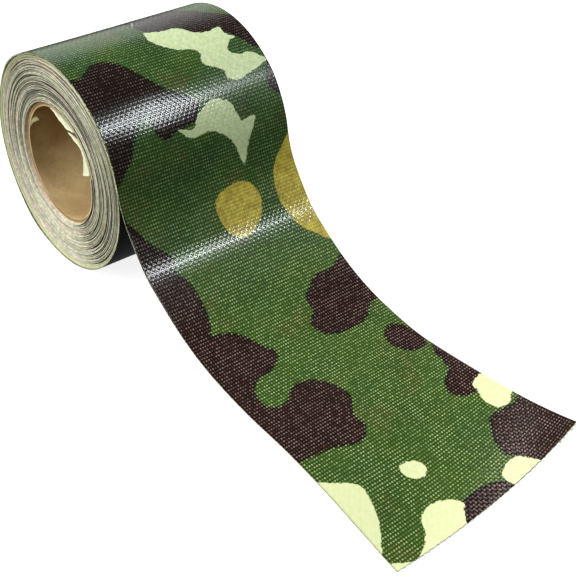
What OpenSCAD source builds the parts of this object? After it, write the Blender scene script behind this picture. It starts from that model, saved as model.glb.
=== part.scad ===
// Roll of printed cloth tape on a cardboard core, with its free end peeled off and laid out in front.
// The origin is the middle of the core's bore. +Y runs along the roll's axis, from its near end face
// to its far end face, +X points to the tail's cut end and +Z is up.

/* [Tape] */
// Width of the tape
tape_w = 50; // [24:1:60]
// Thickness of the printed plastic film, the tape's glossy outer face
film_t = 0.08; // [0.05:0.01:0.12]
// Thickness of the woven cloth under the film
cloth_t = 0.11; // [0.08:0.01:0.16]
// Thickness of the adhesive under the cloth
adhesive_t = 0.08; // [0.05:0.01:0.12]

/* [Core] */
// Inside diameter of the cardboard core
bore_d = 28.4; // [25:0.1:40]
// Thickness of one of the core's three paper plies
ply_t = 0.4; // [0.3:0.05:0.6]
// How far each end of the core sits inside the roll's end face
core_recess = 1; // [0:0.25:2]

/* [Roll] */
// Turns of tape, the last of which is the outer wrap
turns = 40; // [12:1:45]
// Air between one turn and the next
turn_gap = 0.03; // [0.02:0.01:0.06]

/* [Tail] */
// Angle above level at which the tape leaves the roll
peel_deg = 15; // [5:1:30]
// Length of the tail along its near edge
tail_len = 110.4; // [104:0.2:113]
// Extra length at its far edge, because the cut is a little oblique
cut_skew = 3.6; // [0:0.2:6]
// Gap left at each line where the tail flexes
flex_gap = 0.3; // [0.2:0.05:0.5]

/* [Free corner] */
// Radius to which the far corner curls up
curl_r = 43.5; // [40:0.5:90]
// Where the curl starts along the far edge
curl_far_u = 60.5; // [60.5:0.5:70]
// Where the curl starts along the near edge
curl_near_u = 105.5; // [95:0.5:112]
// Distance from the curl's start to the line about which the corner flexes
crease_t = 20; // [19:0.5:24]

/* [Mouth tabs] */
// Thickness of the cream paper tabs that lie against the bore's wall
tab_t = 0.08; // [0.05:0.01:0.12]
// Clearance between a tab and the wall
tab_gap = 0.02; // [0.01:0.01:0.04]

/* [Hidden] */
tape_t = film_t + cloth_t + adhesive_t;
pitch = tape_t + turn_gap;
bore_r = bore_d / 2;
core_r = bore_r + 3 * ply_t;
core_len = tape_w - 2 * core_recess;
roll_r = core_r + (turns - 1) * pitch + tape_t;
// Depths below the tape's outer face at which its layers begin and end
FILM = [0, film_t];
CLOTH = [film_t, film_t + cloth_t];
ADHESIVE = [film_t + cloth_t, tape_t];
LAMINATE = [0, tape_t];
// The tail's side view after the peel line, as arcs: [length, turn in degrees, upward positive].
// It is straight after them.
ARCS = [[12, 26.5], [38, 39.5], [18, 10], [24, -10]];
// Distances from the peel line to the three lines across the tape where the tail flexes
FLEX = [4, 32, 60];
// Slope of the line where the free corner starts to curl, and the length of its normal
curl_k = (curl_near_u - curl_far_u) / tape_w;
curl_q = norm([1, curl_k]);
// Heading of the straight end of the tail
end_heading = side_view(tail_len)[2] + peel_deg;
// The flexing corner's crease: where it crosses the far edge, and where it meets the cut
crease_far_u = curl_far_u + curl_q * crease_t;
crease_cut_v = (crease_far_u + curl_k * tape_w - tail_len) / (curl_k + cut_skew / tape_w);
// Width of the corner's blunt tip on the cut
tip_w = 1;
// Step of the difference that gives the tape's normal
tiny = 0.01;
$fn = 120;

KRAFT = [0.62, 0.47, 0.30];
CREAM = [0.92, 0.93, 0.80];
PRINT = [0.20, 0.38, 0.16];
WEAVE = [0.78, 0.78, 0.70];
GLUE = [0.72, 0.74, 0.62];
WOUND = [0.70, 0.71, 0.62];

// Side view of the tape's outer face, u along it from the peel line: [x, z, heading]. It is in the
// winding's own frame, whose x axis runs through the peel line.
function on_arc(p, heading, arc, s) =
    let (r = arc[0] / (arc[1] * PI / 180), to = heading + arc[1] * s / arc[0])
    [p[0] + r * (sin(to) - sin(heading)), p[1] - r * (cos(to) - cos(heading)), to];
function side_view(u, i = 0, at = [roll_r, 0, -90]) =
    i == len(ARCS) ? [at[0] + u * cos(at[2]), at[1] + u * sin(at[2]), at[2]]
    : u <= ARCS[i][0] ? on_arc(at, at[2], ARCS[i], u)
    : side_view(u - ARCS[i][0], i + 1, on_arc(at, at[2], ARCS[i], ARCS[i][0]));

// Point of the tape's outer face at u along it and v across it. The far corner bends up about
// an oblique line in the plane of the straight end, without stretching.
function face_point(u, v) =
    let (
        s = side_view(u),
        x = s[0] * cos(peel_deg) - s[1] * sin(peel_deg),
        z = s[0] * sin(peel_deg) + s[1] * cos(peel_deg),
        t = max(0, (u - curl_far_u + curl_k * (v - tape_w)) / curl_q),
        bend = t / curl_r * 180 / PI,
        short = (curl_r * sin(bend) - t) / curl_q,
        lift = curl_r * (1 - cos(bend))
    )
    [
        x + short * cos(end_heading) - lift * sin(end_heading),
        v - tape_w / 2 + short * curl_k,
        z + short * sin(end_heading) + lift * cos(end_heading)
    ];
function face_normal(u, v) =
    let (
        n = cross(
            face_point(u + tiny, v) - face_point(u - tiny, v),
            face_point(u, v + tiny) - face_point(u, v - tiny)
        )
    )
    n / norm(n);
function tape_point(u, v, depth) = face_point(u, v) - depth * face_normal(u, v);

module on_roll_axis() {
    rotate([90, 0, 0]) children();
}
module in_winding_frame() {
    on_roll_axis() rotate([0, 0, peel_deg]) children();
}

// Half a turn of tape between two depths below its outer face: the upper one is about the roll's
// axis, and the lower one steps in by half a pitch, so that the turns join into one spiral.
module upper_half_turn(turn, layer) {
    rotate_extrude(angle = 180, start = 0)
        translate([roll_r - turn * pitch - layer[1], -tape_w / 2])
            square([layer[1] - layer[0], tape_w]);
}
module lower_half_turn(turn, layer) {
    translate([-pitch / 2, 0, 0])
        rotate_extrude(angle = 180, start = 180)
            translate([roll_r - (turn + 0.5) * pitch - layer[1], -tape_w / 2])
                square([layer[1] - layer[0], tape_w]);
}

// The start of the tail, from the peel line to the first flex line.
module peeled_start(layer) {
    end_u = FLEX[0] - flex_gap / 2;
    steps = 4;
    outer = [for (i = [0:steps]) side_point(end_u * i / steps, layer[0])];
    inner = [for (i = [steps:-1:0]) side_point(end_u * i / steps, layer[1])];
    linear_extrude(height = tape_w, center = true) polygon(concat(outer, inner));
}
function side_point(u, depth) =
    let (s = side_view(u))
    [s[0] + depth * sin(s[2]), s[1] - depth * cos(s[2])];

// Distance from the peel line to the cut and to the crease, at v across the tape
function cut_u(v) = tail_len + cut_skew * v / tape_w;
function crease_u(v) = crease_far_u - curl_k * (v - tape_w);

// One layer of a length of the tail. from and to are functions that give its start and end at v
// across the tape, and widths is the list of those v.
module tail_layer(from, to, layer, along, widths) {
    columns = len(widths);
    deep = (along + 1) * columns;
    points = [
        for (depth = layer, i = [0:along], v = widths)
            tape_point(from(v) + (to(v) - from(v)) * i / along, v, depth)
    ];
    top = [
        for (i = [0:along - 1], j = [0:columns - 2])
            let (a = i * columns + j, b = a + columns)
            each [[a, a + 1, b + 1], [a, b + 1, b]]
    ];
    bottom = [for (f = top) [f[2] + deep, f[1] + deep, f[0] + deep]];
    near_edge = [for (i = [0:along]) i * columns];
    far_edge = [for (i = [along:-1:0]) i * columns + columns - 1];
    end_edge = [for (j = [1:1:columns - 2]) along * columns + j];
    start_edge = [for (j = [columns - 2:-1:1]) j];
    rim = concat(near_edge, end_edge, far_edge, start_edge);
    walls = [
        for (k = [0:len(rim) - 1])
            let (a = rim[k], b = rim[(k + 1) % len(rim)])
            each [[a, b, b + deep], [a, b + deep, a + deep]]
    ];
    polyhedron(points = points, faces = concat(top, bottom, walls), convexity = 4);
}
function spread(from, to, steps) = [for (i = [0:steps]) from + (to - from) * i / steps];

// A core ply: its place counts from the bore outwards.
module core_ply(place) {
    r = bore_r + place * ply_t;
    on_roll_axis() difference() {
        cylinder(r = r + ply_t, h = core_len, center = true);
        cylinder(r = r, h = core_len + 2, center = true);
    }
}
module core_inner_ply() {
    color(KRAFT) core_ply(0);
}
module core_middle_ply() {
    color(KRAFT) core_ply(1);
}
module core_outer_ply() {
    color(KRAFT) core_ply(2);
}

// A paper tab against the bore's wall, in steps of equal angle. Each reach is a step's depth into
// the bore from the core's near end.
module mouth_tab(from_deg, step_deg, reaches) {
    on_roll_axis()
        for (i = [0:len(reaches) - 1])
            rotate_extrude(angle = step_deg, start = from_deg + i * step_deg)
                translate([bore_r - tab_gap - tab_t, core_len / 2 - reaches[i]])
                    square([tab_t, reaches[i]]);
}
module mouth_tab_ragged() {
    color(CREAM) mouth_tab(45, 9, [1.6, 2.4, 1.4, 2.8, 1.8, 1.0]);
}
module mouth_tab_square() {
    color(CREAM) mouth_tab(18, 12, [3.0, 3.0]);
}
module mouth_tab_scrap() {
    color(CREAM) mouth_tab(146, 8, [1.5, 3.2, 4.6, 2.4]);
}

// Every turn under the outer wrap, as one continuous strip. It starts with half a turn on the core.
module wound_tape() {
    color(WOUND) in_winding_frame() {
        for (turn = [1:turns - 1]) upper_half_turn(turn, LAMINATE);
        for (turn = [1:turns - 2]) lower_half_turn(turn, LAMINATE);
    }
}

// One layer of the last turn, with the first few millimetres that have left the roll.
module outer_wrap(layer) {
    in_winding_frame() {
        upper_half_turn(0, layer);
        lower_half_turn(0, layer);
        peeled_start(layer);
    }
}
module outer_wrap_film() {
    color(PRINT) outer_wrap(FILM);
}
module outer_wrap_cloth() {
    color(WEAVE) outer_wrap(CLOTH);
}
module outer_wrap_adhesive() {
    color(GLUE) outer_wrap(ADHESIVE);
}

// The three lengths of the tail between its flex lines, and its free corner
module tail_drop(layer) {
    from = function(v) FLEX[0] + flex_gap / 2;
    to = function(v) FLEX[1] - flex_gap / 2;
    tail_layer(from, to, layer, 9, [0, tape_w]);
}
module tail_sweep(layer) {
    from = function(v) FLEX[1] + flex_gap / 2;
    to = function(v) FLEX[2] - flex_gap / 2;
    tail_layer(from, to, layer, 7, [0, tape_w]);
}
module tail_run(layer) {
    from = function(v) FLEX[2] + flex_gap / 2;
    to = function(v) min(cut_u(v), crease_u(v) - curl_q * flex_gap / 2);
    beside_crease = spread(crease_cut_v, tape_w, 7);
    widths = concat(spread(0, crease_cut_v, 5), [for (i = [1:7]) beside_crease[i]]);
    tail_layer(from, to, layer, 9, widths);
}
module free_corner(layer) {
    from = function(v) crease_u(v) + curl_q * flex_gap / 2;
    to = function(v) cut_u(v);
    tail_layer(from, to, layer, 6, spread(crease_cut_v + tip_w, tape_w, 7));
}
module tail_drop_film() {
    color(PRINT) tail_drop(FILM);
}
module tail_drop_cloth() {
    color(WEAVE) tail_drop(CLOTH);
}
module tail_drop_adhesive() {
    color(GLUE) tail_drop(ADHESIVE);
}
module tail_sweep_film() {
    color(PRINT) tail_sweep(FILM);
}
module tail_sweep_cloth() {
    color(WEAVE) tail_sweep(CLOTH);
}
module tail_sweep_adhesive() {
    color(GLUE) tail_sweep(ADHESIVE);
}
module tail_run_film() {
    color(PRINT) tail_run(FILM);
}
module tail_run_cloth() {
    color(WEAVE) tail_run(CLOTH);
}
module tail_run_adhesive() {
    color(GLUE) tail_run(ADHESIVE);
}
module free_corner_film() {
    color(PRINT) free_corner(FILM);
}
module free_corner_cloth() {
    color(WEAVE) free_corner(CLOTH);
}
module free_corner_adhesive() {
    color(GLUE) free_corner(ADHESIVE);
}

core_inner_ply();
core_middle_ply();
core_outer_ply();
mouth_tab_ragged();
mouth_tab_square();
mouth_tab_scrap();
wound_tape();
outer_wrap_film();
outer_wrap_cloth();
outer_wrap_adhesive();
tail_drop_film();
tail_drop_cloth();
tail_drop_adhesive();
tail_sweep_film();
tail_sweep_cloth();
tail_sweep_adhesive();
tail_run_film();
tail_run_cloth();
tail_run_adhesive();
free_corner_film();
free_corner_cloth();
free_corner_adhesive();
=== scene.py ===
"""Looks of the roll of printed cloth tape: the printed strip with its weave, the wound pack's edges, the
cardboard core and the cream scraps in its mouth. Lengths are in millimetres until a mesh is made."""

import math

import bpy
import numpy as np
from mathutils import Matrix, Vector


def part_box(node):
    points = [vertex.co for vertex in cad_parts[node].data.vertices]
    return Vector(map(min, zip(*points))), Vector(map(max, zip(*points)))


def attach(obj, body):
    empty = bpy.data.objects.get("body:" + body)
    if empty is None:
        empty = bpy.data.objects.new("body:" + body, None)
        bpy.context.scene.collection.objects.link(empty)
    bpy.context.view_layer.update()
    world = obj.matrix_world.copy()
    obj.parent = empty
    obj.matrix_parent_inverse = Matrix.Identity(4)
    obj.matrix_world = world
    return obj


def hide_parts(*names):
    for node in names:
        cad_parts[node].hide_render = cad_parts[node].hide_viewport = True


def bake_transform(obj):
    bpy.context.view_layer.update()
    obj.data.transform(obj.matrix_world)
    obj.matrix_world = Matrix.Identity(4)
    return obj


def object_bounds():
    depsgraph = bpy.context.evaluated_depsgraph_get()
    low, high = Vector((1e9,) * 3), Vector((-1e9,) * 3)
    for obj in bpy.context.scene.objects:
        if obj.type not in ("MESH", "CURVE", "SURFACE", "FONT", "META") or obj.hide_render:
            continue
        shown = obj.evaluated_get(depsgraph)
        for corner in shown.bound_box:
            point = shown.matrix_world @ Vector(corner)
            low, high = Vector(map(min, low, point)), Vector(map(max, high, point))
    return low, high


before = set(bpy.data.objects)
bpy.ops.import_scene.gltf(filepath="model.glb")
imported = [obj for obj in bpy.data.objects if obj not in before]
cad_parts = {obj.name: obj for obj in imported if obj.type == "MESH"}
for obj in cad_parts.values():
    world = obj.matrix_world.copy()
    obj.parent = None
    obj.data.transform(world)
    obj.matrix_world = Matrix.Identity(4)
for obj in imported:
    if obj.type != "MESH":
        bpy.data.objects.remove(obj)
cad_low, cad_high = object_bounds()

MM = 0.001

# ---- The tape and the roll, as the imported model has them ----
PLY_T = 0.4
CORE_R = (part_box("core_outer_ply")[1].x) / MM
BORE_R = CORE_R - 3 * PLY_T
TAPE_W = (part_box("wound_tape")[1].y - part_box("wound_tape")[0].y) / MM
FILM_T, CLOTH_T, ADHESIVE_T = 0.08, 0.11, 0.08
TAPE_T = FILM_T + CLOTH_T + ADHESIVE_T
TURNS = 40
WOUND_PITCH = 0.30
ROLL_R = CORE_R + (TURNS - 1) * WOUND_PITCH + TAPE_T
CORE_MOUTH_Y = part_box("core_inner_ply")[0].y / MM

# ---- The tail: arcs of its side view (length, turn in degrees), and the corner that curls up ----
PEEL = math.radians(15)
ARCS = [(12, 26.5), (38, 39.5), (18, 10), (24, -10)]
TAIL_LEN, CUT_SKEW = 110.4, 3.6
CURL_R, CURL_FAR_U, CURL_NEAR_U, CREASE_T = 43.5, 60.5, 105.5, 20
CURL_K = (CURL_NEAR_U - CURL_FAR_U) / TAPE_W
CURL_Q = math.hypot(1, CURL_K)
END_HEADING = PEEL + math.radians(sum(turn for length, turn in ARCS) - 90)

# ---- Where the tail flexes, and how far before and after each line the strip bends ----
FLEX_U = {"peel": 4, "sweep": 32, "run": 60}
FLEX_REACH = {"peel": (3, 5), "sweep": (7, 7), "run": (7, 7)}
CORNER_REACH = 3

# ---- The weave: spacing of its threads along and across the tape, and how far they stand up ----
THREADS_ACROSS = 73
WEAVE_U = 0.845
WEAVE_V = TAPE_W / THREADS_ACROSS
WEAVE_RELIEF = 0.029

# ---- Where the visual strips meet, on whole threads. The corner's last thread lies past the cut ----
WRAP_START, PEEL_START, SWEEP_START, RUN_START, CORNER_START, CORNER_END = (
    WEAVE_U * thread for thread in (-203, -10, 22, 55, 92, 137)
)

# ---- Seeds of the random draws ----
PACK_SEED, SCRAP_SEED, THREAD_SEED = 7, 11, 23

# ---- The print's colours and painted shade, as sRGB numbers out of 255 ----
GREEN, GREEN_DEEP, GREEN_ON_TAIL = (60, 92, 36), (40, 72, 34), (66, 94, 22)
TEAL_PATCH, OLIVE_PATCH = (34, 82, 52), (80, 74, 40)
BROWN, BROWN_ON_TAIL = (22, 8, 9), (44, 14, 13)
OCHRE, OCHRE_DEEP = (204, 188, 70), (160, 140, 52)
# The bare film's colour for the roll is a darker copy: painted shade of the roll
BARE, BARE_SHADED_ON_ROLL, BARE_PALE = (220, 228, 170), (188, 208, 156), (236, 234, 200)
# Pale dots at the thread crossings
PALE_DOT, PALE_DOT_IN_BROWN = (194, 210, 144), (164, 138, 132)
# Painted shade in the weave's hollows, between the thread crossings
PAINTED_HOLLOW_SHADE, PAINTED_HOLLOW_SHADE_IN_OCHRE = (24, 30, 14), (150, 126, 44)
OVERLAP = (12, 12, 8)


def linear(colour):
    """RGBA for a shader from sRGB numbers out of 255."""
    part = [c / 255 for c in colour]
    return tuple(c / 12.92 if c <= 0.04045 else ((c + 0.055) / 1.055) ** 2.4 for c in part) + (1,)


# ================ Surface of the tape ================

def tail_side(u):
    """x and z of the tail's outer face at distances u from the peel line, in the winding's own frame."""
    x = np.full_like(u, ROLL_R)
    z = np.zeros_like(u)
    start = 0
    heading = -math.pi / 2
    for length, turn in ARCS:
        turn = math.radians(turn)
        radius = length / turn
        now = heading + turn * np.clip(u - start, 0, length) / length
        x += radius * (np.sin(now) - math.sin(heading))
        z -= radius * (np.cos(now) - math.cos(heading))
        start += length
        heading += turn
    straight = np.maximum(u - start, 0)
    return x + straight * math.cos(heading), z + straight * math.sin(heading)


def turn_side(polar, turn):
    """x and z of a turn's outer face. polar is 0 at the peel line, and turn 0 is the outer wrap."""
    radius = ROLL_R - WOUND_PITCH * turn
    lower = polar > math.pi
    shrink = np.where(lower, WOUND_PITCH / 2, 0)
    return (radius - shrink) * np.cos(polar) - shrink, (radius - shrink) * np.sin(polar)


def turned_by_peel(x, z):
    """x and z of the winding's own frame, turned so that its peel line stands PEEL above level."""
    return x * math.cos(PEEL) - z * math.sin(PEEL), x * math.sin(PEEL) + z * math.cos(PEEL)


def wrap_polar(u):
    """Angle round the roll from the peel line, for distances u behind it, which are negative."""
    upper = -u / ROLL_R
    lower = math.pi + (-u - math.pi * ROLL_R) / (ROLL_R - WOUND_PITCH / 2)
    return np.where(upper <= math.pi, upper, lower)


# Where the outer wrap stands off the roll: degrees above level, rise, spread in degrees, and the middle and
# reach of the bump in v. The first two leave a flatter patch between them, which catches a wide highlight.
# The third narrows that highlight on the far side.
SLACK = [(34, 0.30, 8, 16, 10), (56, 0.30, 8, 16, 10), (46, 0.22, 8, 44, 12),
         (140, 0.5, 14, 0, 12), (242, 0.6, 12, 0, 14)]


def slack(polar, v):
    """How far the outer wrap stands off the turns under it."""
    level = np.degrees(polar + PEEL)
    rise = np.zeros_like(polar + v)
    for centre, height, spread, middle, reach in SLACK:
        rise += height * np.exp(-((level - centre) / spread) ** 2 - ((v - middle) / reach) ** 2)
    return rise


# The soft crease where the tail turns towards the floor: place along the tape, dip, and half its width.
# It dips along a line CREASE_LEAN above level.
CREASE_U, CREASE_DIP, CREASE_HALF = 20.5, 0.52, 5.4
CREASE_LEAN = math.radians(35)


def face(u, v):
    """Points of the tape's outer face: u along it from the peel line, v across it from its near edge."""
    u, v = np.broadcast_arrays(np.asarray(u, float), np.asarray(v, float))
    polar = wrap_polar(np.minimum(u, 0))
    roll_x, roll_z = turn_side(polar, 0)
    loose = 1 + slack(polar, v) / ROLL_R
    tail_x, tail_z = tail_side(np.maximum(u, 0))
    x = np.where(u < 0, roll_x * loose, tail_x)
    z = np.where(u < 0, roll_z * loose, tail_z)
    dip = CREASE_DIP * np.exp(-((u - CREASE_U) / CREASE_HALF) ** 2)
    x, z = x - dip * math.cos(CREASE_LEAN), z - dip * math.sin(CREASE_LEAN)
    x, z = turned_by_peel(x, z)
    past = np.maximum(0, (u - CURL_FAR_U + CURL_K * (v - TAPE_W)) / CURL_Q)
    short = (CURL_R * np.sin(past / CURL_R) - past) / CURL_Q
    lift = CURL_R * (1 - np.cos(past / CURL_R))
    x = x + short * math.cos(END_HEADING) - lift * math.sin(END_HEADING)
    z = z + short * math.sin(END_HEADING) + lift * math.cos(END_HEADING)
    return np.stack([x, v - TAPE_W / 2 + short * CURL_K, z], -1)


def unit(vectors):
    """The vectors, each made one long."""
    return vectors / np.linalg.norm(vectors, axis=-1, keepdims=True)


NORMAL_STEP = 0.05


def normals_of(points_at, u, v, step=NORMAL_STEP):
    """Unit normals of a surface given as a function of u and v, by central differences."""
    along = points_at(u + step, v) - points_at(u - step, v)
    across = points_at(u, v + step) - points_at(u, v - step)
    return unit(np.cross(along, across))


def woven_face(u, v):
    """Outer face with the weave's relief: the film rises over each thread that passes on top."""
    rise = WEAVE_RELIEF * np.sin(math.pi * u / WEAVE_U) * np.sin(math.pi * v / WEAVE_V)
    return face(u, v) + rise[..., None] * normals_of(face, u, v)


# ================ Printed blotches ================
# Outlines in (u, v). A point given twice is a sharp corner. Those at an edge run a little past it.
BROWN_SHAPES = [
    [(-48, 27), (-41, 26), (-36, 28), (-33, 34), (-30, 40), (-27, 46), (-22, 49), (-23, 53), (-31, 53),
     (-36, 47), (-40, 44), (-46, 41), (-54, 38), (-57, 31)],
    [(-26, -2), (-28, 3), (-31, 8), (-30, 12), (-26, 15), (-21, 18), (-18, 21), (-14, 26), (-10, 25),
     (-9, 19), (-8, 15), (-11, 13), (-15, 13), (-12, 9), (-8, 6), (-5, 4), (-2, -2)],
    [(-18, 52), (-15, 48), (-11, 48), (-9, 52)],
    [(6, -2), (9, 1), (14, 4), (19, 8), (22, 7), (26, 9), (31, 9), (36, 8), (40, 5), (39, -2)],
    [(40, 7), (42, 12), (47, 15), (51, 17), (54, 13), (55, 8), (58, 5), (63, 5), (64, 9), (61, 14), (62, 19),
     (67, 22), (71, 22), (75, 19), (79, 19), (82, 15), (80, 9), (79, 2), (76, -2), (44, -2), (40, 3)],
    [(35, 52), (37, 45), (37, 40), (41, 34), (45, 33), (48, 30), (52, 31), (54, 37), (53, 43), (50, 47),
     (48, 52)],
    [(60, 43), (58, 46), (60, 49), (65, 50), (68, 48), (67, 44), (63, 42)],
    [(69, 52), (71, 48.5), (75, 47.5), (78, 46), (80, 43), (83, 41), (86, 42.5), (87, 45), (86, 52)],
    [(98, 52), (96.5, 47), (95, 42.5), (97, 40), (101, 37.5), (105, 36.5), (109, 38), (114, 39), (119, 39),
     (119, 53)],
    [(113, 32), (109, 30), (107, 26), (107, 21), (109, 19.5), (113, 17.5), (118, 17), (118, 32)],
]
OCHRE_SHAPES = [
    [(8, 31), (9, 35), (13, 37), (18, 35), (21, 30), (20, 26), (15, 24), (10, 25)],
    [(2, 52), (4, 47), (9, 43), (15, 42), (21, 43), (26, 46), (29, 52)],
]
BARE_SHAPES = [
    [(-47, 29), (-47, 29), (-44, 27.4), (-41.4, 25.8), (-41.4, 25.8), (-44, 26.9)],
    [(-37, 26), (-37, 26), (-35.5, 30), (-35, 34), (-31.5, 37), (-30.5, 40), (-31, 44), (-31, 44), (-28, 44),
     (-26.5, 45.5), (-25.5, 43), (-23, 41.5), (-21.5, 43.5), (-21, 47), (-18, 50), (-18, 50), (-16.5, 45),
     (-15.5, 40), (-16.5, 37), (-16.5, 37), (-19, 37), (-22, 33), (-24.5, 34), (-26.5, 33), (-28, 29),
     (-31, 26), (-34, 25)],
    [(-9, 19), (-9, 19), (-8, 23), (-11, 26), (-13, 31), (-11, 35), (-8, 36), (-6, 37), (-6, 41), (-1, 38),
     (4, 36), (4, 35), (-2, 33), (-6, 28), (-6, 22)],
    [(85, 52), (84.5, 47), (87.5, 45.5), (90, 44.5), (94, 44.5), (95.5, 47), (94, 49.5), (92, 52)],
    [(108, 37.5), (113, 39), (119, 39), (119, 31), (113, 31.5), (109, 31.5), (107.3, 33.5), (107, 36)],
    [(107, 21.5), (104, 19.5), (102.8, 16), (104, 12.5), (107.5, 10.5), (110, 7), (110.5, 4), (108, -2),
     (117, -2), (117, 18), (111, 18.5)],
    [(86, -2), (87.5, 3), (90.5, 7), (94, 7), (98, 5.5), (102, 3), (106, -2)],
    [(92, 17.5), (91.5, 19), (92.5, 21.5), (95, 22.3), (96.7, 20.5), (96, 18.5), (94, 17.2)],
]
# The pattern's length, after which it comes again, and the distance past which a point counts as far off
PRINT_REPEAT = 180
FAR_OFF = 2.0


def smooth_outline(points, steps=6):
    """Closed curve through the points (Catmull-Rom)."""
    p1 = np.array(points, float)
    p0, p2, p3 = (np.roll(p1, k, axis=0) for k in (1, -1, -2))
    t = (np.arange(steps) / steps)[:, None, None]
    curve = 0.5 * (
        2 * p1 + (p2 - p0) * t + (2 * p0 - 5 * p1 + 4 * p2 - p3) * t**2 + (3 * p1 - p0 - 3 * p2 + p3) * t**3
    )
    return curve.transpose(1, 0, 2).reshape(-1, 2)


def signed_distance(points, outline):
    """Distance from each point to a closed outline, negative inside it."""
    a, b = outline, np.roll(outline, -1, axis=0)
    side = b - a
    squared = np.maximum((side**2).sum(1), 1e-12)
    rel = points[:, None] - a
    t = np.clip((rel * side).sum(2) / squared, 0, 1)
    distance = np.sqrt(((rel - t[..., None] * side) ** 2).sum(2)).min(1)
    above = a[:, 1] > points[:, None, 1]
    above_next = b[:, 1] > points[:, None, 1]
    rise = np.where(side[:, 1] == 0, 1e-12, side[:, 1])
    crossing = a[:, 0] + side[:, 0] * (points[:, None, 1] - a[:, 1]) / rise > points[:, None, 0]
    inside = ((above != above_next) & crossing).sum(1) % 2 == 1
    return np.where(inside, -distance, distance)


# Keeps the memory that signed_distance needs small
POINTS_AT_ONCE = 4000


def ink_distance(shapes, u, v):
    """Signed distance to the nearest of an ink's blotches, up to FAR_OFF."""
    points = np.stack([u, v], -1).reshape(-1, 2)
    nearest = np.full(len(points), FAR_OFF)
    for shift in (0, PRINT_REPEAT):
        moved = points + (shift, 0)
        for shape in shapes:
            outline = smooth_outline(shape)
            low, high = outline.min(0) - FAR_OFF, outline.max(0) + FAR_OFF
            close = np.flatnonzero(((moved > low) & (moved < high)).all(1))
            for part in np.array_split(close, 1 + len(close) // POINTS_AT_ONCE):
                nearest[part] = np.minimum(nearest[part], signed_distance(moved[part], outline))
    return nearest.reshape(u.shape)


# ================ Meshes ================

def mesh_object(name, points, faces, materials, face_material=None, smooth=True):
    """A mesh object from points in mm. faces is an array of quads."""
    mesh = bpy.data.meshes.new(name)
    mesh.vertices.add(len(points))
    mesh.vertices.foreach_set("co", (np.asarray(points, np.float32) * MM).ravel())
    mesh.loops.add(faces.size)
    mesh.loops.foreach_set("vertex_index", faces.astype(np.int32).ravel())
    mesh.polygons.add(len(faces))
    mesh.polygons.foreach_set("loop_start", np.arange(0, faces.size, 4, dtype=np.int32))
    mesh.update(calc_edges=True)
    for material in materials:
        mesh.materials.append(material)
    if face_material is not None:
        mesh.polygons.foreach_set("material_index", face_material.astype(np.int32))
    mesh.polygons.foreach_set("use_smooth", np.full(len(faces), smooth))
    mesh.validate()
    piece = bpy.data.objects.new(name, mesh)
    bpy.context.scene.collection.objects.link(piece)
    return piece


def point_attribute(piece, name, values):
    """One number for each point of the mesh, for its material to read."""
    attribute = piece.data.attributes.new(name, "FLOAT", "POINT")
    attribute.data.foreach_set("value", np.asarray(values, np.float32).ravel())


def uv_map(piece, per_point):
    """UV coordinates, given as two numbers for each point of the mesh."""
    layer = piece.data.uv_layers.new(name="UVMap")
    index = np.zeros(len(piece.data.loops), np.int32)
    piece.data.loops.foreach_get("vertex_index", index)
    layer.data.foreach_set("uv", np.asarray(per_point, np.float32)[index].ravel())


def grid_quads(rows, columns):
    """Quads of a grid of points, numbered row by row."""
    first = (np.arange(rows - 1)[:, None] * columns + np.arange(columns - 1)).ravel()
    return np.stack([first, first + columns, first + columns + 1, first + 1], 1)


def rim_of_grid(rows, columns):
    """Point numbers round a grid's border, in order."""
    last = (rows - 1) * columns
    down = np.arange(rows) * columns
    along = last + np.arange(columns)
    up = np.arange(rows)[::-1] * columns + columns - 1
    back = np.arange(columns)[::-1]
    return np.concatenate([down[:-1], along[:-1], up[:-1], back[:-1]])


CUT_HOLLOW = 0.5
# The last columns of points, from here on, close up on the cut
CUT_BLEND = 104


def cut_line(v):
    """u of the cut end: oblique, a little hollow, and slightly uneven where the weave tore."""
    hollow = CUT_HOLLOW * np.sin(math.pi * v / TAPE_W)
    uneven = 0.06 * np.sin(v * 4.1) + 0.05 * np.sin(v * 9.3 + 1)
    return TAIL_LEN + CUT_SKEW * v / TAPE_W - hollow + uneven


def strip_grid(u_from, u_to, cut):
    """u and v of a strip's points, half a thread apart. A cut strip's last columns close up on the cut."""
    columns = round((u_to - u_from) / (WEAVE_U / 2)) + 1
    u = u_from + np.arange(columns)[:, None] * WEAVE_U / 2
    v = np.arange(2 * THREADS_ACROSS + 1)[None, :] * WEAVE_V / 2
    u, v = np.broadcast_arrays(u, v)
    if cut:
        share = np.clip((u - CUT_BLEND) / (u_to - CUT_BLEND), 0, 1)
        u = np.where(u > CUT_BLEND, CUT_BLEND + share * (cut_line(v) - CUT_BLEND), u)
    return u, v


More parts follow.
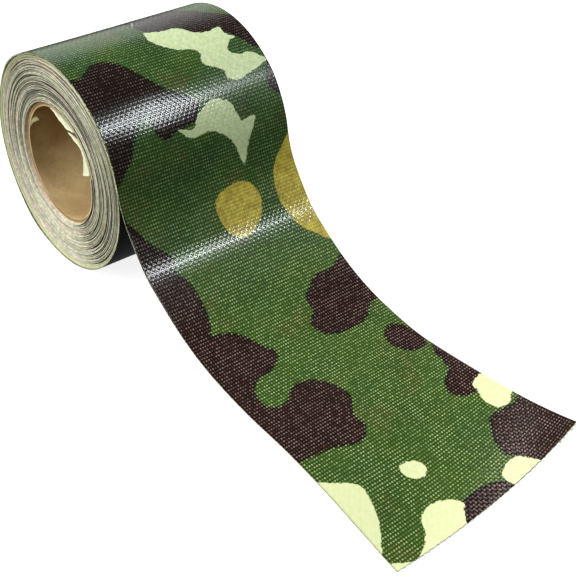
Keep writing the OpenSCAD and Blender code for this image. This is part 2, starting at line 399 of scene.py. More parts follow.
def tape_strip(name, u_from, u_to, materials, cut=False):
    """A length of the tape as a closed thin solid: printed film on top, cloth between, adhesive under."""
    u, v = strip_grid(u_from, u_to, cut)
    rows, columns = u.shape
    base = face(u, v)
    normal = normals_of(face, u, v)
    top = woven_face(u, v)
    levels = [base - depth * normal for depth in (FILM_T, FILM_T + CLOTH_T, TAPE_T)]
    rim = rim_of_grid(rows, columns)
    flat = [level.reshape(-1, 3) for level in levels]
    points = np.concatenate([top.reshape(-1, 3), flat[2], flat[0][rim], flat[1][rim]])
    count, around = rows * columns, len(rim)
    quads = grid_quads(rows, columns)
    rings = [rim, 2 * count + np.arange(around), 2 * count + around + np.arange(around), count + rim]
    walls = [np.stack([a, b, np.roll(b, -1), np.roll(a, -1)], 1)[:, ::-1] for a, b in zip(rings, rings[1:])]
    faces = np.concatenate([quads, count + quads[:, ::-1], *walls])
    kinds = np.repeat([0, 2, 0, 1, 2], [len(quads), len(quads), around, around, around])
    piece = mesh_object(name, points, faces, materials, kinds)
    every = np.concatenate([np.arange(count), np.arange(count), rim, rim])
    uv_map(piece, np.stack([u.ravel(), v.ravel()], 1)[every])
    for ink, shapes in (("brown", BROWN_SHAPES), ("ochre", OCHRE_SHAPES), ("bare", BARE_SHAPES)):
        point_attribute(piece, ink, ink_distance(shapes, u, v).ravel()[every])
    shade_strip(piece, u, v, count, rings)
    return piece


def shade_strip(piece, u, v, count, rings):
    """Sharp edges round the rim, and true surface normals along the two ends, where strips meet."""
    mesh = piece.data
    ring_of = np.full(len(mesh.vertices), -1)
    for number, ring in enumerate(rings):
        ring_of[ring] = number
    ends = np.zeros(len(mesh.edges) * 2, np.int32)
    mesh.edges.foreach_get("vertices", ends)
    pair = ring_of[ends.reshape(-1, 2)]
    border = (pair[:, 0] == pair[:, 1]) & np.isin(pair[:, 0], (0, 3))
    sharp = mesh.attributes.new("sharp_edge", "BOOLEAN", "EDGE")
    sharp.data.foreach_set("value", border)
    normals = np.zeros((len(mesh.vertices), 3), np.float32)
    for row in (0, -1):
        index = np.arange(count).reshape(u.shape)[row, 1:-1]
        normals[index] = normals_of(woven_face, u[row, 1:-1], v[row, 1:-1], 0.1)
        normals[count + index] = -normals_of(face, u[row, 1:-1], v[row, 1:-1], 0.1)
    mesh.normals_split_custom_set_from_vertices(normals)


def smooth_noise(rng, positions, period_length):
    """Random values from -1 to 1, changing smoothly over positions, one draw per period_length."""
    knots = rng.uniform(-1, 1, int(positions.max() / period_length) + 3)
    at = positions / period_length
    whole = at.astype(int)
    part = at - whole
    part = part * part * (3 - 2 * part)
    return knots[whole] * (1 - part) + knots[whole + 1] * part


def loose_groups(rng):
    """For each turn, how far it has slipped outward: turns cling together in groups, with a gap between."""
    shift = np.zeros(TURNS + 1)
    turn = 1
    while turn <= TURNS:
        size = rng.integers(1, 6)
        for place in range(size):
            if turn + place <= TURNS:
                shift[turn + place] = place
        turn += size
    return shift


# Where the turns stand apart most: degrees above level, and spread in degrees
LOOSE_PLACES = [(-34, 55), (36, 18), (140, 24)]


def looseness(level):
    """From 0 to 1: how far apart the turns stand at an angle above level, in degrees."""
    total = np.zeros_like(level)
    for centre, spread in LOOSE_PLACES:
        away = (level - centre + 180) % 360 - 180
        total += np.exp(-(away / spread) ** 2)
    return np.minimum(total, 1)


# The pack's points in one turn, its thickness of tape, and how far its edges lie inside the outer wrap's
PACK_STEPS = 128
PACK_TAPE_T = 0.215
PACK_INSET = 0.30
# A turn's section: inset of its rounded edge, share of its thickness inward, and side, where 1 is near
PACK_SECTION = [(0.12, 0, 1), (0.0, 0.3, 1), (0.0, 0.75, 1), (0.1, 1, 1),
                (0.1, 1, -1), (0.0, 0.75, -1), (0.0, 0.3, -1), (0.12, 0, -1)]


def pack_rings(rng):
    """Places along the spiral, in turns, and the points of the tape's section at each. The turns stand apart
    where they are loose. Their edges wave, slowly and then by small steps, over lengths given in turns."""
    place = np.arange((TURNS - 1) * PACK_STEPS + 1) / PACK_STEPS
    turn = np.minimum(place.astype(int), TURNS - 2)
    share = place - turn
    polar = share * 2 * math.pi
    groups = loose_groups(rng)
    slip = groups[turn + 1] * (1 - share) + groups[np.minimum(turn + 2, TURNS)] * share
    gapped = 0.3 + 0.7 * looseness(np.degrees(polar + PEEL))
    outward = slip * gapped * (WOUND_PITCH - PACK_TAPE_T) + 0.03 * smooth_noise(rng, place, 0.21)
    thickness = PACK_TAPE_T * (1 + 0.06 * smooth_noise(rng, place, 0.37))
    near = 0.30 * smooth_noise(rng, place, 0.9) + 0.05 * smooth_noise(rng, place, 0.043)
    far = 0.24 * smooth_noise(rng, place, 0.8) + 0.05 * smooth_noise(rng, place, 0.047)
    x, z = turn_side(polar, turn + 1)
    centre_x = np.where(polar > math.pi, -WOUND_PITCH / 2, 0)
    radius = np.hypot(x - centre_x, z)
    rings = []
    for inset, depth, side in PACK_SECTION:
        scale = (radius + outward - depth * thickness) / radius
        turned_x, turned_z = turned_by_peel(centre_x + (x - centre_x) * scale, z * scale)
        edge = TAPE_W / 2 - PACK_INSET - inset + (near if side > 0 else far)
        rings.append(np.stack([turned_x, -side * edge, turned_z], -1))
    return place, np.stack(rings, 1)


def wound_pack(materials):
    """The turns under the outer wrap, one continuous spiral. Their edges are a little uneven, and some
    neighbouring turns cling together, which leaves dark gaps between them and the next ones."""
    place, points = pack_rings(np.random.default_rng(PACK_SEED))
    count, around = points.shape[:2]
    index = np.arange(count * around).reshape(count, around)
    shifted = np.roll(index, -1, axis=1)
    sides = np.stack([index[:-1], shifted[:-1], shifted[1:], index[1:]], -1).reshape(-1, 4)
    caps = np.array([[0, 7, 6, 1], [1, 6, 5, 2], [2, 5, 4, 3]])
    faces = np.concatenate([sides, caps, (caps + (count - 1) * around)[:, ::-1]])
    piece = mesh_object("wound_turns", points.reshape(-1, 3), faces[:, ::-1], materials)
    point_attribute(piece, "turn", np.repeat(place, around))
    point_attribute(piece, "depth", np.tile([depth for inset, depth, side in PACK_SECTION], count))
    return piece


# A loose thread: places along it, how far it bends there as a share of its length, and how much it narrows
THREAD_PLACES = np.array([0.0, 0.4, 0.75, 1.0])
THREAD_BEND = np.array([0.0, 0.03, 0.12, 0.30])
THREAD_TAPER = 0.55
# Any direction that no thread lies along
ASKEW = (0.31, 0.17, 0.94)
CLOTH_DEPTH = FILM_T + CLOTH_T / 2


def stray_threads(name, roots, tips, thickness, material):
    """Short loose threads, each a thin square tube that narrows and bends from its root to its tip."""
    corners = np.array([(1, 1), (-1, 1), (-1, -1), (1, -1)])
    reach = tips - roots
    length = np.linalg.norm(reach, axis=1, keepdims=True)
    side = unit(np.cross(reach, ASKEW))
    other = unit(np.cross(reach, side))
    straight = roots[:, None] + reach[:, None] * THREAD_PLACES[:, None]
    middle = straight - (side * length)[:, None] * THREAD_BEND[:, None]
    width = thickness * (1 - THREAD_TAPER * THREAD_PLACES)[None, :, None, None] / 2
    offset = corners[:, :1] * side[:, None, None] + corners[:, 1:] * other[:, None, None]
    points = (middle[:, :, None] + width * offset).reshape(-1, 3)
    rings, around = len(THREAD_PLACES), len(corners)
    first = np.arange(rings * around).reshape(rings, around)
    turned = np.roll(first, -1, axis=1)
    sides = np.stack([first[:-1], turned[:-1], turned[1:], first[1:]], -1).reshape(-1, 4)
    tube = np.concatenate([sides, first[:1, ::-1], first[-1:]])
    faces = (np.arange(len(roots))[:, None, None] * rings * around + tube).reshape(-1, 4)
    return mesh_object(name, points, faces, [material], smooth=False)


def along_tape(u, v):
    """Unit vectors that point along the tape."""
    return unit(face(u + 0.1, v) - face(u, v))


def edge_threads(material, rng):
    """Threads that stand out of the outer wrap's near edge, over the near upper quarter of the roll."""
    count, thickness = 300, 0.15
    u = -ROLL_R * np.radians(rng.uniform(2, 105, count))
    v = rng.uniform(0.0, 0.12, count)
    normal = normals_of(face, u, v)
    root = face(u, v) - CLOTH_DEPTH * normal
    out = np.stack([rng.uniform(-0.25, 0.25, count), rng.uniform(0.05, 0.40, count)], -1)
    tip = root + along_tape(u, v) * out[:, :1] - np.array([0, 1, 0]) * out[:, 1:]
    tip += normal * rng.uniform(0.0, 0.45, (count, 1))
    return stray_threads("edge_threads", root, tip, thickness, material)


def cut_threads(material, rng):
    """Threads that stand out of the cut end. Near the far corner, where the weave came apart, there are more
    and they are longer."""
    count, thickness = 90, 0.09
    frayed_count, frayed_from = 30, TAPE_W - 6
    v = TAPE_W * rng.uniform(0.004, 0.996, count)
    v[:frayed_count] = rng.uniform(frayed_from, TAPE_W - 0.2, frayed_count)
    u = cut_line(v) - 0.05
    normal = normals_of(face, u, v)
    root = face(u, v) - CLOTH_DEPTH * normal
    frayed = (v > frayed_from)[:, None]
    reach = rng.uniform(0.15, 0.5, (count, 1)) + 0.5 * frayed * rng.uniform(0, 1, (count, 1))
    across = unit(face(u, v + 0.1) - face(u, v))
    tip = root + along_tape(u, v) * reach + across * rng.uniform(-0.2, 0.2, (count, 1))
    tip += normal * rng.uniform(-0.05, 0.12, (count, 1))
    return stray_threads("cut_threads", root, tip, thickness, material)


# Cream scraps in the mouth. Each has a free edge and a far edge, as (angle, reach in from the wall)
SCRAPS = {
    "scrap_ragged": (
        [(104, 0.1), (98, 0.7), (93, 1.6), (89, 2.0), (81, 2.2), (73, 2.3), (69, 1.7), (65, 1.0), (61, 0.3)],
        [(104, 0), (97, 0), (90, 0), (84, 0), (78, 0), (71, 0), (67, 0), (64, 0), (60, 0)],
    ),
    "scrap_torn": (
        [(70, 2.7), (65, 2.6), (61, 2.4), (57, 2.5), (54, 2.2), (50, 1.6), (45, 1.2), (40, 1.1)],
        [(69, 2.5), (64, 1.9), (60, 1.3), (56, 0.6), (52, 0), (48, 0), (44, 0), (40, 0)],
    ),
    "scrap_square": (
        [(41, 1.1), (36, 1.2), (31, 1.8), (26, 2.6), (21, 3.3), (15, 4.0), (10, 4.5)],
        [(41, 0), (37, 0), (33, 0), (29, 0), (24, 0), (20, 0.1), (16, 0.3)],
    ),
    "scrap_left": (
        [(168, 0.1), (162, 0.6), (156, 1.1), (149, 1.8), (141, 2.5)],
        [(166, 0), (160, 0.1), (155, 0.3), (149, 0.7), (143, 1.1)],
    ),
}
SCRAP_T = 0.12
SCRAP_ROUGHNESS = 0.12
# How far the scraps stay from the bore's wall, and how far they lie outside the core's end
WALL_GAP = 0.05
MOUTH_GAP = 0.15


def mouth_scrap(name, free_edge, far_edge, material, rng):
    """A thin scrap that stands from the core's rim into the mouth."""
    knots = np.arange(len(free_edge))
    fine = np.linspace(0, knots[-1], 6 * knots[-1] + 1)
    (free_angle, free_reach), (far_angle, far_reach) = (
        [np.interp(fine, knots, column) for column in np.transpose(edge)] for edge in (free_edge, far_edge)
    )
    free_reach = free_reach + SCRAP_ROUGHNESS * rng.uniform(-1, 1, len(fine))
    across = np.linspace(0, 1, 5)[None, :]
    angle = np.radians(far_angle[:, None] * (1 - across) + free_angle[:, None] * across)
    inward = far_reach[:, None] * (1 - across) + free_reach[:, None] * across
    radius = BORE_R - WALL_GAP - np.maximum(inward, 0.03 * across)
    lean, ripple = 0.08 * inward, 0.06 * np.sin(9 * angle) * across
    y = CORE_MOUTH_Y - MOUTH_GAP + lean + ripple
    front = np.stack([radius * np.cos(angle), y, radius * np.sin(angle)], -1)
    back = front + (0, SCRAP_T, 0)
    rows, columns = radius.shape
    quads = grid_quads(rows, columns)
    rim = rim_of_grid(rows, columns)
    count = rows * columns
    wall = np.stack([rim, count + rim, count + np.roll(rim, -1), np.roll(rim, -1)], 1)
    points = np.concatenate([front.reshape(-1, 3), back.reshape(-1, 3)])
    faces = np.concatenate([quads, count + quads[:, ::-1], wall[:, ::-1]])
    return mesh_object(name, points, faces, [material])


# ================ Materials ================

class Shader:
    """A node material in the making. Each method adds one node and returns its output."""

    def __init__(self, name, **sockets):
        """A new material with a plain surface, whose sockets have underscores for spaces in their names."""
        self.material = bpy.data.materials.new(name)
        self.material.use_nodes = True
        self.tree = self.material.node_tree
        self.surface = self.tree.nodes["Principled BSDF"]
        for socket, value in sockets.items():
            self.surface.inputs[socket.replace("_", " ")].default_value = value

    def put(self, socket, value):
        """Link the socket to another node's output, or set it to a plain value."""
        if isinstance(value, bpy.types.NodeSocket):
            self.tree.links.new(value, socket)
        else:
            socket.default_value = value

    def node(self, kind, inputs=None, output=0, **settings):
        """A node of any kind. The output may be a number or a name."""
        made = self.tree.nodes.new(kind)
        for setting, value in settings.items():
            setattr(made, setting, value)
        for name, value in (inputs or {}).items():
            self.put(made.inputs[name], value)
        return made.outputs[output]

    def math(self, operation, *values):
        """A maths operation on one or two values."""
        return self.node("ShaderNodeMath", dict(enumerate(values)), operation=operation)

    def attribute(self, name):
        """A number that the mesh holds for each of its points."""
        return self.node("ShaderNodeAttribute", output="Fac", attribute_name=name)

    def noise(self, vector, scale, detail=3.0, roughness=0.5):
        """Smooth noise, mostly between 0.3 and 0.7."""
        inputs = {"Vector": vector, "Scale": scale, "Detail": detail, "Roughness": roughness}
        return self.node("ShaderNodeTexNoise", inputs)

    def spread(self, value, low, high, to_low=0.0, to_high=1.0):
        """The value, mapped smoothly from low..high to to_low..to_high."""
        inputs = {"Value": value, "From Min": low, "From Max": high, "To Min": to_low, "To Max": to_high}
        return self.node("ShaderNodeMapRange", inputs, interpolation_type="SMOOTHSTEP")

    def mix(self, share, first, second):
        """A colour between the first, at a share of 0, and the second, at 1."""
        made = self.tree.nodes.new("ShaderNodeMix")
        made.data_type = "RGBA"
        self.put(made.inputs["Factor"], share)
        self.put(made.inputs[6], first)
        self.put(made.inputs[7], second)
        return made.outputs[2]

    def place(self):
        """The point on the object, in metres."""
        return self.node("ShaderNodeTexCoord", output="Object")

    def tape_places(self):
        """The UV coordinates, then u and v apart: places along and across the tape, in mm."""
        uv = self.node("ShaderNodeUVMap", uv_map="UVMap")
        split = self.tree.nodes.new("ShaderNodeSeparateXYZ")
        self.tree.links.new(uv, split.inputs[0])
        return uv, split.outputs[0], split.outputs[1]

    def bump(self, height, distance):
        """A normal for a surface that rises by distance, in metres, where height is 1."""
        return self.node("ShaderNodeBump", {"Height": height, "Distance": distance, "Strength": 1.0})

    def finish(self, colour, roughness=None, normal=None):
        """Give the surface its colour, roughness and normal, and return the material."""
        self.put(self.surface.inputs["Base Color"], colour)
        if roughness is not None:
            self.put(self.surface.inputs["Roughness"], roughness)
        if normal is not None:
            self.put(self.surface.inputs["Normal"], normal)
        return self.material


def woven_wave(s, u, v):
    """From -1 to 1: the height of a plain weave, whose threads pass over and under in turn."""
    wave_u = s.math("SINE", s.math("MULTIPLY", u, math.pi / WEAVE_U))
    wave_v = s.math("SINE", s.math("MULTIPLY", v, math.pi / WEAVE_V))
    return s.math("MULTIPLY", wave_u, wave_v)


def thread_crossings(s, u, v):
    """Distance in mm to the nearest thread crossing, and a random number of that crossing's own."""
    across_u, across_v = s.math("DIVIDE", u, WEAVE_U), s.math("DIVIDE", v, WEAVE_V)
    cell_u, cell_v = s.math("ROUND", across_u), s.math("ROUND", across_v)
    cell = s.node("ShaderNodeCombineXYZ", {0: cell_u, 1: cell_v})
    chance = s.node("ShaderNodeTexWhiteNoise", {"Vector": cell}, noise_dimensions="2D")
    off_u = s.math("MULTIPLY", s.math("SUBTRACT", across_u, cell_u), WEAVE_U)
    off_v = s.math("MULTIPLY", s.math("SUBTRACT", across_v, cell_v), WEAVE_V)
    squared = s.math("ADD", s.math("MULTIPLY", off_u, off_u), s.math("MULTIPLY", off_v, off_v))
    return s.math("SQRT", squared), chance


def inked(s, name, chance):
    """1 inside an ink's blotches and 0 outside. Their borders step in and out from thread to thread."""
    step, soft = 0.35, 0.10
    stepped = s.math("ADD", s.attribute(name), s.math("MULTIPLY", s.math("SUBTRACT", chance, 0.5), step))
    return s.spread(stepped, soft, -soft)


def pale_dots(s, uv, on_tail, away, chance):
    """From 0 to 1: how strongly the pale dot shows. Each crossing has a dot, fainter on the roll."""
    dot = s.spread(away, 0.28, 0.08)
    patch = s.spread(s.noise(uv, 0.11, 2.0), 0.35, 0.65, 0.7, 1.0)
    shown = s.math("MULTIPLY", patch, s.math("ADD", s.math("MULTIPLY", on_tail, 0.45), 0.45))
    strength = s.math("MULTIPLY", s.spread(chance, 0.0, 1.0, 0.2, 1.0), shown)
    return s.math("MULTIPLY", dot, strength)


def green_ink(s, uv, on_tail):
    """Green with darker, teal and olive patches, yellower along the tail."""
    depth = s.spread(s.noise(uv, 0.07, 4.0, 0.6), 0.3, 0.7)
    green = s.mix(depth, linear(GREEN), linear(GREEN_DEEP))
    drift = s.noise(uv, 0.06, 6.0, 0.7)
    green = s.mix(s.spread(drift, 0.50, 0.68, 0.0, 0.6), green, linear(TEAL_PATCH))
    green = s.mix(s.spread(drift, 0.48, 0.34, 0.0, 0.8), green, linear(OLIVE_PATCH))
    return s.mix(s.math("MULTIPLY", on_tail, 0.4), green, linear(GREEN_ON_TAIL))


def printed_colour(s, uv, on_tail, away, chance):
    """Green, ochre and brown inks, darker where brown overlaps its neighbours, with painted shade in the
    weave's hollows, pale dots at the thread crossings, and the bare film, which has painted shade on the
    roll."""
    in_brown, in_ochre, in_bare = (inked(s, name, chance) for name in ("brown", "ochre", "bare"))
    ochre = s.mix(s.spread(s.noise(uv, 0.5), 0.3, 0.7), linear(OCHRE), linear(OCHRE_DEEP))
    brown = s.mix(s.math("MULTIPLY", on_tail, s.noise(uv, 0.2)), linear(BROWN), linear(BROWN_ON_TAIL))
    ink = s.mix(in_ochre, green_ink(s, uv, on_tail), ochre)
    ink = s.mix(in_brown, ink, brown)
    # Painted shade in the weave's hollows: the ink darkens between the thread crossings
    painted_hollow_shade = s.spread(away, 0.20, 0.46, 0.0, 0.45)
    ink = s.mix(painted_hollow_shade, ink, s.mix(in_ochre, linear(PAINTED_HOLLOW_SHADE), linear(PAINTED_HOLLOW_SHADE_IN_OCHRE)))
    overlap = s.spread(s.math("ABSOLUTE", s.attribute("brown")), 0.55, 0.2, 0.0, 0.85)
    ink = s.mix(overlap, ink, linear(OVERLAP))
    dot_colour = s.mix(in_brown, linear(PALE_DOT), linear(PALE_DOT_IN_BROWN))
    ink = s.mix(pale_dots(s, uv, on_tail, away, chance), ink, dot_colour)
    # On the roll the bare film has a darker copy of its colour: painted shade
    cream = s.mix(on_tail, linear(BARE_SHADED_ON_ROLL), linear(BARE))
    bare = s.mix(s.spread(s.noise(uv, 0.9), 0.35, 0.65, 0.0, 0.4), cream, linear(BARE_PALE))
    return s.mix(in_bare, ink, bare)


def film_height(s, uv, u, v, away):
    """Height for the film's bump: the weave, a dimple at each crossing, and the film's own unevenness."""
    dimple = s.spread(away, 0.34, 0.12, 0.0, -0.8)
    height = s.math("ADD", s.math("MULTIPLY", woven_wave(s, u, v), 0.35), dimple)
    return s.math("ADD", height, s.math("MULTIPLY", s.noise(uv, 1.7, 2.0), 0.25))


def printed_film():
    """Glossy film printed over a weave. It is rougher where the roll was handled, past the middle of its
    width."""
    s = Shader("printed_film", IOR=1.5)
    uv, u, v = s.tape_places()
    on_tail = s.spread(u, -5, 45)
    away, chance = thread_crossings(s, u, v)
    colour = printed_colour(s, uv, on_tail, away, chance)
    shine = s.spread(s.noise(uv, 0.6, 3.0), 0.3, 0.7, 0.11, 0.16)
    handled = s.math("MULTIPLY", s.spread(v, 24, 38, 0.0, 0.12), s.spread(u, 4, -4))
    height = film_height(s, uv, u, v, away)
    return s.finish(colour, s.math("ADD", shine, handled), s.bump(height, 0.02 * MM))


def cloth_edge():
    """Cut edge of the woven cloth: pale threads end on, with the darker film's ink between them."""
    s = Shader("cloth_edge", Roughness=0.85)
    where = s.place()
    threads = s.noise(where, 1400, 2.0)
    colour = s.mix(s.spread(threads, 0.42, 0.6), linear((92, 96, 70)), linear((196, 196, 160)))
    return s.finish(colour, None, s.bump(threads, 0.05 * MM))


def adhesive_face():
    """Pale grey-green adhesive with the weave pressing through it."""
    s = Shader("adhesive", IOR=1.45)
    uv, u, v = s.tape_places()
    weave = woven_wave(s, u, v)
    smear = s.noise(uv, 0.25, 4.0, 0.6)
    colour = s.mix(s.spread(smear, 0.3, 0.7), linear((186, 190, 158)), linear((206, 206, 180)))
    colour = s.mix(s.spread(weave, -1, 1, 0.25, 0.0), colour, linear((140, 146, 118)))
    height = s.math("ADD", s.math("MULTIPLY", weave, 0.5), smear)
    return s.finish(colour, s.spread(smear, 0.3, 0.7, 0.42, 0.62), s.bump(height, 0.04 * MM))


def turn_colour(s, turn):
    """The wound edges' own colour, which changes from turn to turn: grey-green, cream and pinkish."""
    by_turn = s.node("ShaderNodeCombineXYZ", {0: s.math("MULTIPLY", turn, 0.9)})
    tint = s.noise(by_turn, 1.0, 2.0, 0.7)
    cream = s.mix(s.spread(tint, 0.38, 0.50), linear((172, 182, 160)), linear((228, 224, 200)))
    return s.mix(s.spread(tint, 0.56, 0.66), cream, linear((222, 194, 182)))


def shaded_gap_turns(s, turn):
    """1 along the stretches of the spiral where painted shade marks the gaps between the turns, 0 along the
    others.
    """
    along = s.node("ShaderNodeCombineXYZ", {0: s.math("MULTIPLY", turn, 1.7), 1: 40.0})
    return s.spread(s.noise(along, 1.0, 3.0, 0.6), 0.48, 0.55)


def wound_edges():
    """Edges of the wound turns, each with its green film line. Some have painted shade along their lower lip,
    for the shade in the gaps between turns, and the outer ones are a fresh yellow-green."""
    s = Shader("wound_edges", IOR=1.4)
    turn, depth, where = s.attribute("turn"), s.attribute("depth"), s.place()
    mottle = s.noise(where, 900, 4.0, 0.65)
    colour = s.mix(s.spread(mottle, 0.62, 0.40, 0.0, 0.45), turn_colour(s, turn), linear((120, 122, 98)))
    film = s.mix(s.spread(s.noise(where, 250, 2.0), 0.4, 0.6), linear((96, 112, 66)), linear((60, 62, 46)))
    colour = s.mix(s.spread(depth, 0.30, 0.02, 0.0, 0.75), colour, film)
    painted_gap_shade = s.math("MULTIPLY", shaded_gap_turns(s, turn), s.spread(depth, 0.6, 0.2, 0.0, 0.95))
    # Near-black painted shade of the gaps between the turns
    colour = s.mix(painted_gap_shade, colour, linear((26, 22, 18)))
    fresh = s.math("MULTIPLY", s.spread(turn, 5.5, 1.0), s.spread(depth, 0.1, 0.4, 0.0, 0.65))
    colour = s.mix(fresh, colour, linear((196, 204, 146)))
    return s.finish(colour, s.spread(mottle, 0.3, 0.7, 0.6, 0.85), s.bump(mottle, 0.08 * MM))


KRAFT_FIBRE, KRAFT_SEAM = (112, 84, 48), (96, 70, 40)
KRAFT_LINES = 14


def kraft(name, light, dark):
    """Brown cardboard: felted fibres, speckles, and the faint lines of the spiral-wound plies."""
    s = Shader(name, Roughness=0.88)
    where = s.place()
    drawn = s.node("ShaderNodeMapping", {"Vector": where, "Scale": (1.0, 0.6, 1.0)})
    fibres = s.noise(drawn, 1500, 5.0, 0.65)
    clouds = s.noise(where, 110, 3.0)
    colour = s.mix(s.spread(clouds, 0.3, 0.7), linear(light), linear(dark))
    colour = s.mix(s.spread(fibres, 0.45, 0.75, 0.0, 0.3), colour, linear(KRAFT_FIBRE))
    waves = {"Vector": where, "Scale": KRAFT_LINES, "Distortion": 1.2, "Detail": 2.0}
    seams = s.node("ShaderNodeTexWave", waves, wave_type="BANDS", bands_direction="DIAGONAL")
    colour = s.mix(s.spread(seams, 0.93, 1.0, 0.0, 0.25), colour, linear(KRAFT_SEAM))
    height = s.math("ADD", fibres, s.math("MULTIPLY", seams, 0.3))
    return s.finish(colour, None, s.bump(height, 0.09 * MM))


def loose_thread():
    """Pale yellow-green thread ends, mottled with darker ones."""
    s = Shader("loose_thread", Roughness=0.8)
    mottle = s.noise(s.place(), 1200, 2.0)
    colour = s.mix(s.spread(mottle, 0.4, 0.6), linear((182, 188, 136)), linear((104, 108, 72)))
    return s.finish(colour, None, s.bump(mottle, 0.03 * MM))


def cream_paper(name, light, dark):
    """Thin cream liner paper with a greenish cast and soft creases."""
    s = Shader(name, Roughness=0.6)
    where = s.place()
    clouds = s.noise(where, 300, 3.0)
    colour = s.mix(s.spread(clouds, 0.35, 0.65), linear(light), linear(dark))
    return s.finish(colour, None, s.bump(s.noise(where, 700, 3.0), 0.06 * MM))


# ================ Camera, floor and lights ================

# The camera's angles in degrees: azimuth, elevation and roll. Its lens in mm, and its place in metres
CAMERA_ANGLES = (46.984, 38.797, -5.415)
CAMERA_LENS, CAMERA_SENSOR = 77.58, 36
CAMERA_PLACE = (0.22165, -0.15202, 0.16859)


def add_camera():
    """The camera at the photograph's viewing angle."""
    azimuth, elevation, roll = (math.radians(angle) for angle in CAMERA_ANGLES)
    back = Vector((
        math.sin(azimuth) * math.cos(elevation), -math.cos(azimuth) * math.cos(elevation), math.sin(elevation)
    ))
    right = Vector((math.cos(azimuth), math.sin(azimuth), 0))
    level = Matrix((right, back.cross(right), back)).transposed()
    camera = bpy.data.objects.new("camera", bpy.data.cameras.new("camera"))
    camera.data.lens, camera.data.sensor_width = CAMERA_LENS, CAMERA_SENSOR
    camera.data.clip_start, camera.data.clip_end = 0.01, 10
    place = (level @ Matrix.Rotation(-roll, 3, "Z")).to_4x4()
    place.translation = Vector(CAMERA_PLACE)
    camera.matrix_world = place
    bpy.context.scene.collection.objects.link(camera)
    bpy.context.scene.camera = camera


# Each light's direction from the roll, distance, size, power and colour. The first two are seen in the film
LIGHTS = {
    "key_back": ((0.50, 0.43, 0.72), 0.7, (0.05, 0.19), 1.05, (0.92, 0.98, 1.0)),
    "key_glow": ((0.47, 0.43, 0.73), 0.7, (0.30, 0.24), 0.2, (0.80, 0.98, 0.94)),
    "fill_far": ((0.25, 0.9, 0.45), 0.9, (0.5, 0.5), 3.0, (1, 1, 1)),
    "rim_back": ((-0.85, 0.45, 0.22), 0.9, (0.6, 0.6), 0.9, (1, 1, 1)),
    "fill_near": ((-0.15, -0.85, 0.5), 0.9, (0.5, 0.5), 9.5, (1.0, 0.99, 0.96)),
    "fill_top": ((-0.55, -0.3, 0.8), 0.9, (0.6, 0.6), 4.0, (1, 1, 1)),
}
LIT_POINT = (0.03, 0, 0)


def add_light(name, toward, distance, size, power, colour):
    """A rectangular soft light, in the direction toward from LIT_POINT, facing it. Its size is
    (across, along), where along lies as near the roll's axis as it can."""
    data = bpy.data.lights.new(name, "AREA")
    data.shape = "RECTANGLE"
    data.size, data.size_y = size
    data.energy = power
    data.color = colour
    light = bpy.data.objects.new(name, data)
    direction = Vector(toward).normalized()
    along = (Vector((0, 1, 0)) - direction * direction.y).normalized()
    place = Matrix((along.cross(direction), along, direction)).transposed().to_4x4()
    place.translation = Vector(LIT_POINT) + direction * distance
    light.matrix_world = place
    bpy.context.scene.collection.objects.link(light)


FLOOR_HALF = 3000
FLOOR_GLOW, FLOOR_GREY = 0.85, 0.45


def add_floor():
    """A plain near-white floor that the roll stands on. It glows a little and doesn't light the roll."""
    s = Shader("pale_floor", Roughness=0.9, Specular_IOR_Level=0.0)
    s.surface.inputs["Emission Color"].default_value = (1, 1, 1, 1)
    s.surface.inputs["Emission Strength"].default_value = FLOOR_GLOW
    material = s.finish((FLOOR_GREY, FLOOR_GREY, FLOOR_GREY, 1))
    bottom = cad_low.z / MM
    corners = np.array([(-1, -1), (1, -1), (1, 1), (-1, 1)]) * FLOOR_HALF
    points = np.column_stack([corners, np.full(4, bottom)])
    floor = mesh_object("floor", points, np.array([[0, 1, 2, 3]]), [material], smooth=False)
    floor.visible_diffuse = floor.visible_glossy = False


WORLD_STRENGTH = 0.07


def add_world():
    """Faint even light from all round."""
    world = bpy.data.worlds.new("studio")
    world.use_nodes = True
    world.node_tree.nodes["Background"].inputs["Color"].default_value = (1, 1, 1, 1)
    world.node_tree.nodes["Background"].inputs["Strength"].default_value = WORLD_STRENGTH
    bpy.context.scene.world = world
    bpy.context.scene.view_settings.view_transform = "Standard"


# ================ Assembly ================

def flex_point(u, v=TAPE_W / 2):
    """It is mid-width unless v says."""
    return tuple(face(np.array([float(u)]), np.array([v]))[0] * MM)


def corner_flex_points():
    """Points before and after the corner's oblique crease, along its normal in the tape."""
    crease_far_u = CURL_FAR_U + CURL_Q * CREASE_T
    v = 0.75 * TAPE_W
    u = crease_far_u - CURL_K * (v - TAPE_W)
    step_u, step_v = CORNER_REACH / CURL_Q, CORNER_REACH * CURL_K / CURL_Q
    return flex_point(u - step_u, v - step_v), flex_point(u + step_u, v + step_v)


def stand_for_layers(node):
    """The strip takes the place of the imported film, cloth and adhesive."""
    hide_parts(*(f"{node}_{layer}" for layer in ("film", "cloth", "adhesive")))


def add_wrap(materials):
    """The last turn, on the roll."""
    wrap = tape_strip("printed_wrap", WRAP_START, PEEL_START, materials)
    stand_for_layers("outer_wrap")
    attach(wrap, "roll")


# The tail's lengths: name, flex line, the bodies before and after that line, ends, and how it is held
TAIL_LENGTHS = [
    ("printed_peel", "peel", "roll", "tail_drop", PEEL_START, SWEEP_START, "hung"),
    ("printed_sweep", "sweep", "tail_drop", "tail_sweep", SWEEP_START, RUN_START, "hung"),
    ("printed_run", "run", "tail_sweep", "tail_run", RUN_START, CORNER_START, "laid"),
]


def add_tail_lengths(materials):
    """The lengths of the tail, each holding one of the flex lines across it."""
    for name, flex, before, after, u_from, u_to, held in TAIL_LENGTHS:
        strip = tape_strip(name, u_from, u_to, materials)
        stand_for_layers(after)
        reach_before, reach_after = FLEX_REACH[flex]
        start, end = flex_point(FLEX_U[flex] - reach_before), flex_point(FLEX_U[flex] + reach_after)
        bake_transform(strip)


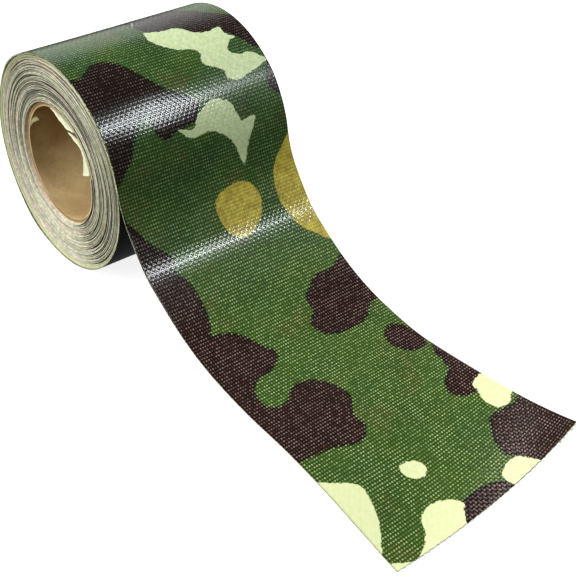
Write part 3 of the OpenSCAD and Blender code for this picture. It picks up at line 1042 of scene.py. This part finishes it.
def add_corner(materials):
    """The end of the tail, with its corner that curls up."""
    corner = tape_strip("printed_corner", CORNER_START, CORNER_END, materials, cut=True)
    stand_for_layers("free_corner")
    start, end = corner_flex_points()
    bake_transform(corner)


def add_threads():
    """Loose threads at the cut end and at the outer wrap's near edge."""
    rng = np.random.default_rng(THREAD_SEED)
    material = loose_thread()
    at_cut = cut_threads(material, rng)
    start, end = corner_flex_points()
    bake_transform(at_cut)
    at_edge = edge_threads(material, rng)
    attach(at_edge, "roll")


def add_printed_tape():
    """The outer wrap and the tail, as one strip in five lengths."""
    materials = [printed_film(), cloth_edge(), adhesive_face()]
    add_wrap(materials)
    add_tail_lengths(materials)
    add_corner(materials)
    add_threads()


def add_wound_pack():
    """The turns under the outer wrap."""
    pack = wound_pack([wound_edges()])
    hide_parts("wound_tape")
    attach(pack, "roll")


def add_core():
    """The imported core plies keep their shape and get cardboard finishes."""
    finishes = {
        "core_inner_ply": kraft("kraft_inner", (200, 176, 126), (168, 140, 94)),
        "core_middle_ply": kraft("kraft_middle", (140, 116, 80), (122, 98, 64)),
        "core_outer_ply": kraft("kraft_outer", (176, 156, 114), (150, 126, 86)),
    }
    for node, material in finishes.items():
        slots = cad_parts[node].data.materials
        if len(slots):
            slots[0] = material
        else:
            slots.append(material)


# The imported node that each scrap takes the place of. The torn one has none
SCRAP_NODES = {
    "scrap_ragged": "mouth_tab_ragged",
    "scrap_square": "mouth_tab_square",
    "scrap_left": "mouth_tab_scrap",
}


def add_scraps():
    """The cream scraps that stand in the core's near mouth. The left one's paper is darker: painted shade."""
    cream = cream_paper("cream_paper", (240, 241, 212), (218, 230, 186))
    # The left scrap's darker paper is painted shade, as it lies in shade
    shaded_scrap_paper = cream_paper("scrap_paper_in_painted_shade", (172, 172, 124), (140, 136, 92))
    rng = np.random.default_rng(SCRAP_SEED)
    for name, (free_edge, far_edge) in SCRAPS.items():
        material = shaded_scrap_paper if name == "scrap_left" else cream
        scrap = mouth_scrap(name, free_edge, far_edge, material, rng)
        if name in SCRAP_NODES:
            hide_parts(SCRAP_NODES[name])
        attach(scrap, "roll")


add_camera()
add_world()
add_floor()
for light_name, light in LIGHTS.items():
    add_light(light_name, *light)
add_wound_pack()
add_printed_tape()
add_core()
add_scraps()
